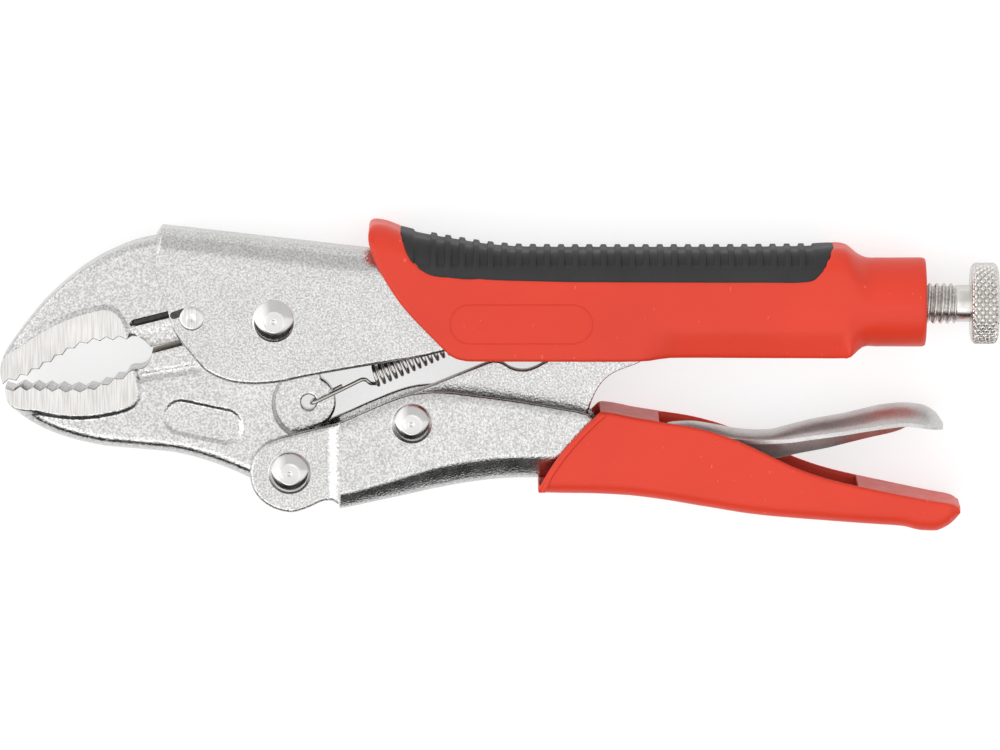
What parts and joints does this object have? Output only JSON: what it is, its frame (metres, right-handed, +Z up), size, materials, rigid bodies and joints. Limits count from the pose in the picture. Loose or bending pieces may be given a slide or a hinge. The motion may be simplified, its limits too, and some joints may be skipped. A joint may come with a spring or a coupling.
{
  "type": "locking pliers",
  "caption": "Curved-jaw locking pliers with sheet-metal handles, soft grips, a toggle link, a release lever and a knurled adjusting screw.",
  "frame": {"origin": "centre of the bounding box on the floor plane the tool lies on", "axes": "+X from the jaws to the adjusting knob, +Y from the lower handle to the upper handle, +Z up through the tool's thickness"},
  "size_m": [0.25, 0.0772, 0.0226],
  "materials": {
    "forged_steel": "nickel-plated forging with milled side faces",
    "plated_sheet": "fine pebbled nickel plate",
    "rivet_steel": "polished",
    "screw_steel": "zinc plated, turned and knurled",
    "spring_steel": "drawn wire",
    "red_grip": "satin moulded plastic",
    "black_insert": "ribbed soft rubber"
  },
  "bodies": {
    "upper_handle": {"fixed_jaw": "forged_steel", "fixed_jaw_pin": "rivet_steel", "handle_shell": "plated_sheet", "screw_bush": "screw_steel", "main_pivot_rivet": "rivet_steel", "spring_anchor_pin": "rivet_steel", "tension_spring": "spring_steel", "upper_grip": "red_grip", "grip_insert": "black_insert"},
    "lower_jaw": {"movable_jaw": "forged_steel"},
    "lower_handle": {"lever_channel": "plated_sheet", "lever_pivot_rivet": "rivet_steel", "link_rivet": "rivet_steel", "release_pin": "rivet_steel", "lower_grip": "red_grip"},
    "toggle": {"toggle_link": "plated_sheet"},
    "release": {"release_lever": "plated_sheet"},
    "screw_carrier": {"screw_tip": "screw_steel"},
    "screw": {"adjusting_screw": "screw_steel"}
  },
  "joints": [
    {"name": "jaw_open", "type": "hinge", "parent": "upper_handle", "child": "lower_jaw", "pos_m": [-0.05655, 0.01485, 0.0113], "axis": [0, 0, 1], "range_deg": [0, 20], "deforming": ["tension_spring"]},
    {"name": "handle_swing", "type": "hinge", "parent": "lower_jaw", "child": "lower_handle", "pos_m": [-0.05275, -0.02365, 0.0113], "axis": [0, 0, 1], "range_deg": [-63.5, 0]},
    {"name": "link_swing", "type": "hinge", "parent": "lower_handle", "child": "toggle", "pos_m": [-0.02215, -0.01095, 0.0113], "axis": [0, 0, 1], "range_deg": [0, 65.5]},
    {"name": "release_press", "type": "hinge", "parent": "lower_handle", "child": "release", "pos_m": [0.04695, -0.01815, 0.0113], "axis": [0, 0, -1], "range_deg": [0, 8]},
    {"name": "screw_feed", "type": "slide", "parent": "upper_handle", "child": "screw_carrier", "axis": [1, 0, 0], "range_m": [0, 0.021]},
    {"name": "screw_turn", "type": "hinge", "parent": "screw_carrier", "child": "screw", "pos_m": [0.12, 0.01815, 0.0113], "axis": [1, 0, 0], "range_deg": [0, 4320]}
  ],
  "couplings": [
    {"joint": "handle_swing", "follows": "jaw_open", "ratio": -3.15},
    {"joint": "link_swing", "follows": "jaw_open", "ratio": 3.25},
    {"joint": "screw_turn", "follows": "screw_feed", "rad_per_m": 3590.3}
  ]
}
